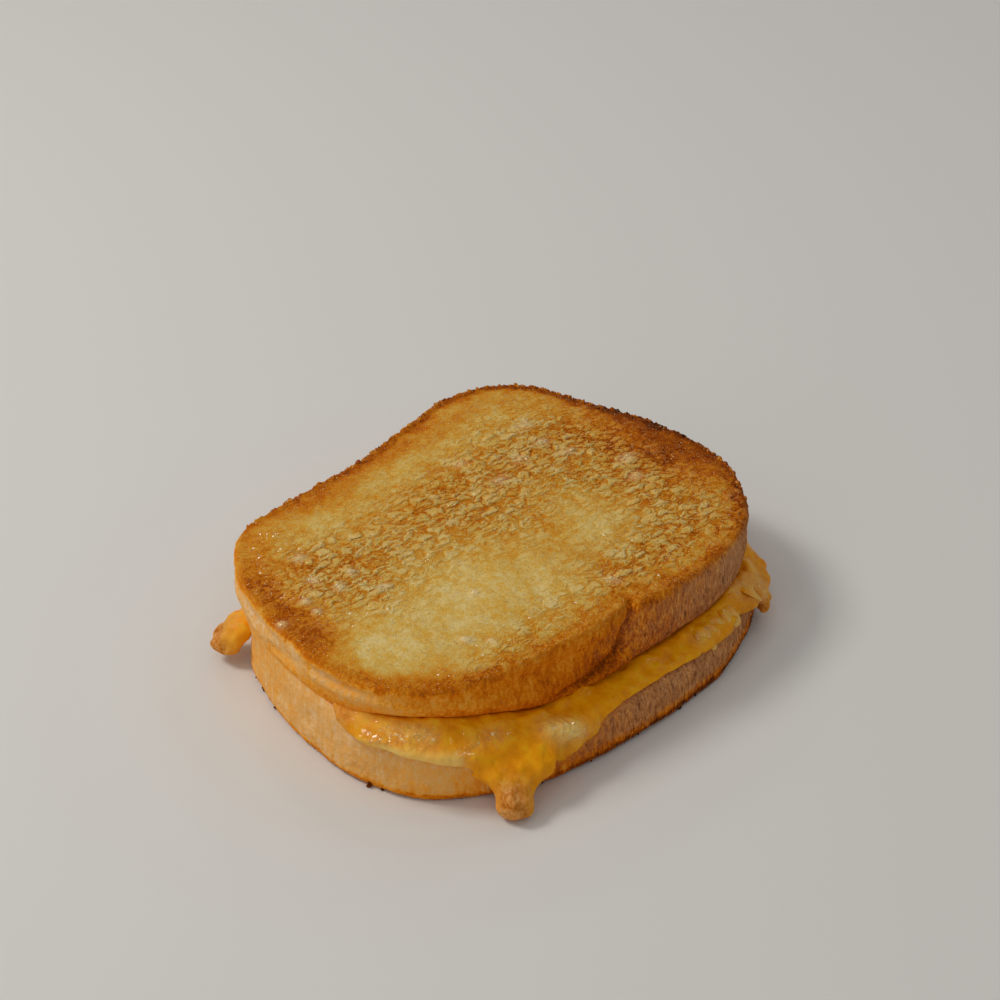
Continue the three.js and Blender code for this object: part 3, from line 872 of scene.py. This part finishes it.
cheeseAttributes = ("pale", "crisp", "glossy")
cheeseLook = {
    "faceSize": 0.42,
    "softening": 3,
    "swell": 0.15,
    "hiddenBeyond": 9,  # further in from the lower slice's side than this it is one face
    "lowerSide": (5, 11),  # heights between which the slices' sides stand upright beside the cheese
    "upperSide": (17, 24),
    "stops": [(0.0, screen(210, 116, 2)), (0.5, screen(246, 162, 2)), (1.0, screen(254, 204, 30))],
    # pale of thin cheese, and partly a painted highlight on the bubble and the flaps at the right
    "paleTone": screen(250, 208, 112),
    "crispStops": [(0.0, screen(140, 66, 6)), (0.45, screen(208, 128, 42)), (1.0, screen(240, 184, 112))],
    # where it is pulled in: angle about the upper slice's middle, how far out past the lower slice, share
    "tucked": [
        [-160, 9, 0], [-124, 9, 0], [-116, 0.3, 0.8], [-90, 0.0, 0.9], [-80, 0.1, 0.95],
        [-74, 0.7, 0.8], [-60, 1.0, 0.7], [-48, 9, 0], [-20, 9, 0], [-12, -0.6, 0.85],
        [10, -1.0, 0.9], [34, -0.8, 0.9], [42, 9, 0],
    ],
    # soft strokes from one point to another: x, y, z, x, y, z, width, amount
    # pale: thinner cheese, and on the bubble and on the flaps and ledge at the right partly a painted
    # highlight
    "pale": [
        [8, -64.5, 17.5, 30, -57, 17, 1.8, 0.45], [16, -70.5, 14.2, 36.5, -55.5, 12.8, 1.9, 1.3],
        [45.7, -33, 13, 48.7, -29, 12.5, 2.8, 1.0], [50.5, 17, 13.5, 49.5, 22.5, 14, 2, 0.8],
        [49.6, 28.5, 13.5, 48.5, 32, 14.5, 1.8, 0.9], [46, 38, 15, 46, 44, 14, 2.5, 0.6],
        [41, 50, 12.8, 50, 45, 10, 1.2, 0.6], [51, 8.5, 15.2, 51.8, 11, 15, 1.2, 0.6],
        [-43, -52, 11, -41, -58, 5, 4, 0.4],
    ],
    "crisp": [
        [49.5, -51, 5, 53, -54, 1, 5, 1.6], [-46, -56, 9, -42, -59, 3, 4.2, 1.4],
        [50, 43, 7, 51, 43, 2, 3.5, 0.9], [4, -65, 17.5, 10, -65.6, 17, 3, 0.7],
        [46, 48, 11.4, 50, 40, 11, 5, 0.4],
    ],
    "glossy": [
        [18, -66.5, 17, 30, -56.7, 17.1, 2.6, 1], [38.7, -45.5, 15.5, 39, -44.5, 15, 2.4, 1],
        [37.5, -50.2, 15.2, 36, -53.5, 11.5, 2.2, 1], [45.7, -33, 13, 48.7, -29, 12.5, 3, 1],
        [50, 3, 15, 51, 10, 15, 2, 0.9], [46, 38, 13, 47, 46, 12, 2.5, 0.8],
        [51, -26, 11, 52, -22, 13, 2, 0.7],
    ],
    # dents below 0 and bulges above it
    "pushes": [
        [-41.5, -51, 11, -39.5, -58.5, 5, 0.8, -0.8],
        [45.7, -33, 13, 48.7, -29, 12.5, 3.2, 1.0], [45.4, -36.9, 8, 49.4, -29.4, 10, 0.9, -0.9],
        [44, -38.5, 5, 50.5, -28, 6.5, 2.2, 0.6], [40, -46, 10, 42, -46, 5, 4, 0.5],
        [41, 46, 13.5, 51.5, 44.5, 4, 0.8, -0.8], [44, 40.5, 13.5, 51.5, 41, 5, 0.8, -0.7],
        [42.5, 43.5, 13.5, 51.5, 42.8, 4.5, 0.9, 0.6],
    ],
    "creep": 1.5,  # how far it creeps up the upper slice's side
    "uneven": 1.0,
    # below this height the toe is drawn in toward this line, as x and y: share of the way, and at its foot
    "toe": ((44, -45), (51.5, -52.5)),
    "toeHeight": 11,
    "toeShare": 0.24,
    "toeEndShare": 0.0,
    "lumpHeight": 0.7,
    "dimpleHeight": 0.7,
    "grainHeight": 0.3,
    "beadHeight": 0.25,
    "bumpStrength": 0.8,
    "facetSize": 0.9,
    "facetTilt": 0.9,
    # painted glints: small bright specks painted into the colour, more of them where the limit is lower
    "glintTone": screen(255, 224, 150),
    "glintSize": 1.1,
    "glintLimit": 0.285,
    "roughness": 0.42,
    "crispRoughness": 0.62,
    "specular": 0.05,
    "coatRoughness": 0.05,
    "coatIor": 1.7,
    # light that passes through it: share, spread of red, green and blue, depth
    "subsurface": 0.25,
    "subsurfaceSpread": (1.0, 0.5, 0.1),
    "subsurfaceDepth": 1.2,
}


def strokes(spot, marks):
    # sum of the soft strokes at a spot
    total = 0.0
    for ax, ay, az, bx, by, bz, width, amount in marks:
        start = Vector((ax, ay, az))
        along = Vector((bx, by, bz)) - start
        t = min(1.0, max(0.0, (spot - start).dot(along) / along.length_squared))
        total += amount * bell((spot - start - along * t).length, width)
    return total


def cheeseFields(wire, look):
    place = wire.place()
    crisp = wire.attribute("crisp")
    glossy = wire.attribute("glossy")
    lumps = place.grain(5, 2)
    dimples = place.grain(1.5, 2)
    grit = place.grain(0.8, 3, 0.65)
    beads = place.grain(0.9, 1)
    height = lumps * look["lumpHeight"] + dimples * (glossy + 0.2) * look["dimpleHeight"]
    height = height + grit * crisp * look["grainHeight"] + beads * glossy * look["beadHeight"]
    return {"height": height, "place": place, "lumps": lumps, "grit": grit, "crisp": crisp, "glossy": glossy}


def cheeseMaterial(name, look):
    material, wire = newMaterial(name)
    fields = cheeseFields(wire, look)
    place, crisp, glossy, grit = fields["place"], fields["crisp"], fields["glossy"], fields["grit"]
    streaks = place.grain((2.5, 2.5, 7), 3, 0.6)
    tone = streaks * 0.9 + fields["lumps"] * 0.5 + 0.5
    body = wire.node("ValToRGB", {"stops": look["stops"]}, {"Fac": tone})
    crispTone = grit * 1.3 + place.grain(3, 2) + 0.55
    toast = wire.node("ValToRGB", {"stops": look["crispStops"]}, {"Fac": crispTone})
    # paler where the cheese is thin, partly a painted highlight
    colour = body.blend(look["paleTone"], wire.attribute("pale") * (0.8 + streaks)).blend(toast, crisp)
    # painted glints: bright specks painted into the colour, more of them where it is glossy
    paintedGlint = place.grain(look["glintSize"], 3, 0.7) + glossy * 0.22
    paintedGlint = (paintedGlint - look["glintLimit"]).between(0, 0.05)
    colour = colour.blend(look["glintTone"], paintedGlint * (1 - crisp * 0.6))
    shader = shaderOf(material)
    wire.plug(shader["Base Color"], colour)
    dried = crisp * (look["crispRoughness"] - look["roughness"])
    wire.plug(shader["Roughness"], look["roughness"] + dried)
    beads, facetRelief = facets(place, look["facetSize"], look["facetTilt"], glossy * 0.5)
    wire.plug(shader["Coat Weight"], wire.math("MAXIMUM", beads, glossy * 0.7 + 0.08 - crisp * 0.1))
    shader["Specular IOR Level"].default_value = look["specular"]
    shader["Coat Roughness"].default_value = look["coatRoughness"]
    shader["Coat IOR"].default_value = look["coatIor"]
    shader["Subsurface Weight"].default_value = look["subsurface"]
    shader["Subsurface Radius"].default_value = look["subsurfaceSpread"]
    shader["Subsurface Scale"].default_value = look["subsurfaceDepth"] * mm
    relief = fields["height"] + facetRelief
    bump = wire.node("Bump", {}, {"Height": relief, "Distance": mm, "Strength": look["bumpStrength"]})
    wire.plug(shader["Normal"], bump)
    return material


def toeMove(spot, look):
    # draws the toe in toward its middle line, and lets go of what is above, behind and beside it
    start, end = (Vector(place) for place in look["toe"])
    flat = Vector((spot.x, spot.y)) - start
    along = (end - start).normalized()
    across = flat - along * flat.dot(along)
    share = mix(look["toeShare"], look["toeEndShare"], 1 - ramp(1.5, 5, spot.z))
    share *= ramp(-3, 2, flat.dot(along)) * (1 - ramp(7, 10, across.length))
    share *= 1 - ramp(look["toeHeight"] - 4, look["toeHeight"], spot.z)
    return Vector((*(across * -share), 0))


def shapeCheese(piece, look):
    outside = sideOf(bottomSlice, look["lowerSide"])
    fromTop = sideOf(topSlice, look["upperSide"])
    bm = bmesh.new()
    bm.from_mesh(piece.data)
    closeHidden(bm, lambda centre, normal: outside(centre)[0] < -look["hiddenBeyond"])
    bm.normal_update()
    layers = {name: bm.verts.layers.float.new(name) for name in cheeseAttributes}
    moves = []
    for vert in bm.verts:
        spot = vert.co / mm
        for name, layer in layers.items():
            vert[layer] = min(1.0, strokes(spot, look[name]))
        beyond, out = outside(spot)
        limit, share = around(look["tucked"], angleOf(spot, topLook["middle"]))
        move = vert.normal * strokes(spot, look["pushes"]) + toeMove(spot, look)
        if vert.normal.z > 0.3 and spot.z > 11:
            # it creeps up the side of the upper slice here and there
            clings = bell(fromTop(spot)[0] - 0.3, 1.6) * max(0.0, noise.noise(spot / 5) + 0.25)
            move += Vector((0, 0, clings * look["creep"]))
        limit += look["uneven"] * noise.noise(spot / 6)
        if share:
            move -= out * max(0.0, beyond - limit) * share
        elif beyond > 0.5:
            move += out * look["uneven"] * noise.noise(spot / 3) * ramp(0.5, 2, beyond)
        moves.append(vert.co + move * mm)
    for vert, place in zip(bm.verts, moves):
        vert.co = place
    bm.to_mesh(piece.data)
    bm.free()
    addRelief(piece, cheeseFields, look)


tongueLook = {
    # thin pale tongues of cheese that hang over the lower slice: place, radii, turn about Z, droop
    "tongues": [
        ((49.0, 20.4, 12.6), (3.6, 3.4, 0.55), -4, 0.13),
        ((48.6, 30.4, 12.6), (3.2, 2.6, 0.55), 8, 0.14),
        ((48.2, 25.6, 12.5), (3.0, 1.8, 0.5), 14, 0.12),
        ((47.0, 41.6, 12.6), (3.4, 2.2, 0.55), 26, 0.12),
    ],
    "wave": 0.3,
    "pale": 0.75,
    "glossy": 0.6,
}


def cheeseTongues(material, look):
    bm = bmesh.new()
    layers = {name: bm.verts.layers.float.new(name) for name in cheeseAttributes}
    for place, (across, along, thick), turn, droop in look["tongues"]:
        made = bmesh.ops.create_icosphere(bm, subdivisions=4, radius=1)["verts"]
        for vert in made:
            x, y, z = vert.co.x * across, vert.co.y * along, vert.co.z * thick
            wave = look["wave"] * math.sin(1.9 * y + place[1])
            vert.co = Vector((x + wave, y, z - droop * max(0.0, x + 0.5 * across) ** 2 + wave * 0.5))
            # paler toward the outer edge: thin cheese, and partly a painted highlight
            vert[layers["pale"]] = look["pale"] * ramp(-0.4, 0.7, x / across)
            vert[layers["glossy"]] = look["glossy"]
        matrix = Matrix.Translation(place) @ Euler((0, 0, math.radians(turn))).to_matrix().to_4x4()
        bmesh.ops.transform(bm, matrix=Matrix.Scale(mm, 4) @ matrix, verts=made)
    keepInBox(bm)
    mesh = bpy.data.meshes.new("cheeseTongues")
    bm.to_mesh(mesh)
    bm.free()
    finishPiece(addObject("cheeseTongues", mesh), None, material)


melt = workingCopy("cheese", "meltedCheese", cheeseLook)
shapeCheese(melt, cheeseLook)
melted = cheeseMaterial("meltedCheese", cheeseLook)
finishPiece(melt, "cheese", melted)
cheeseTongues(melted, tongueLook)


# table top, light and camera

studio = {
    "floorTone": screen(226, 224, 219),
    "floorRoughness": 0.6,
    "floorHalfSize": 2.5,
    "worldTone": (1.0, 1.0, 1.0),
    "worldStrength": 0.30,
    # lamps: how far round from the camera, to its left below 0, height angle, distance, size, power, colour
    "lamps": [
        ("keyLamp", -100, 50, 1.1, 0.3, 4.2, (1.0, 0.97, 0.93)),
        ("fillLamp", -42, 22, 1.4, 1.0, 1.8, (1.0, 0.98, 0.96)),
        # small ones behind, for the glints on the toast
        ("glintLamp1", 125, 52, 1.2, 0.08, 0.22, (1.0, 0.98, 0.95)),
        ("glintLamp2", 155, 36, 1.2, 0.08, 0.22, (1.0, 0.98, 0.95)),
        ("glintLamp3", 180, 55, 1.2, 0.08, 0.22, (1.0, 0.98, 0.95)),
        ("glintLamp4", -160, 34, 1.2, 0.08, 0.22, (1.0, 0.98, 0.95)),
        ("glintLamp5", -130, 50, 1.2, 0.08, 0.22, (1.0, 0.98, 0.95)),
        # and before it, for the wet cheese
        ("glintLamp6", -30, 66, 1.2, 0.06, 0.22, (1.0, 0.98, 0.95)),
        ("glintLamp7", 25, 56, 1.2, 0.06, 0.22, (1.0, 0.98, 0.95)),
        ("glintLamp8", -65, 60, 1.2, 0.06, 0.22, (1.0, 0.98, 0.95)),
    ],
    "aim": Vector((0, 0, 0.014)),
}
view = {
    "place": Vector((294.1, -326.7, 348.2)) * mm,
    "tilt": 54.91,  # from looking straight down
    "turn": 42.0,
    "lens": 79.2,
    "sensor": 36,
}


def buildFloor(look):
    bm = bmesh.new()
    bmesh.ops.create_grid(bm, x_segments=2, y_segments=2, size=look["floorHalfSize"])
    mesh = bpy.data.meshes.new("tableTop")
    bm.to_mesh(mesh)
    bm.free()
    floor = addObject("tableTop", mesh)
    material = newMaterial("paleTable")[0]
    shader = shaderOf(material)
    shader["Base Color"].default_value = (*look["floorTone"], 1)
    shader["Roughness"].default_value = look["floorRoughness"]
    mesh.materials.append(material)


def buildLamps(look):
    for name, turn, rise, distance, size, power, tone in look["lamps"]:
        lamp = bpy.data.lights.new(name, "AREA")
        lamp.size = size
        lamp.energy = power
        lamp.color = tone
        holder = addObject(name, lamp)
        bearing = math.radians(view["turn"] - 90 + turn)
        rise = math.radians(rise)
        level = math.cos(rise)
        out = Vector((math.cos(bearing) * level, math.sin(bearing) * level, math.sin(rise)))
        holder.location = look["aim"] + out * distance
        holder.rotation_euler = (-out).to_track_quat("-Z", "Y").to_euler()
    world = bpy.data.worlds.new("softRoom")
    world.use_nodes = True
    background = world.node_tree.nodes["Background"].inputs
    background["Color"].default_value = (*look["worldTone"], 1)
    background["Strength"].default_value = look["worldStrength"]
    bpy.context.scene.world = world


def buildCamera():
    lens = bpy.data.cameras.new("camera")
    lens.lens = view["lens"]
    lens.sensor_width = view["sensor"]
    lens.clip_start = 0.01
    camera = addObject("camera", lens)
    camera.location = view["place"]
    camera.rotation_euler = Euler((math.radians(view["tilt"]), 0, math.radians(view["turn"])))
    bpy.context.scene.camera = camera


buildFloor(studio)
buildLamps(studio)
buildCamera()
bpy.context.scene.view_settings.view_transform = "Standard"
print("table, light and camera set")
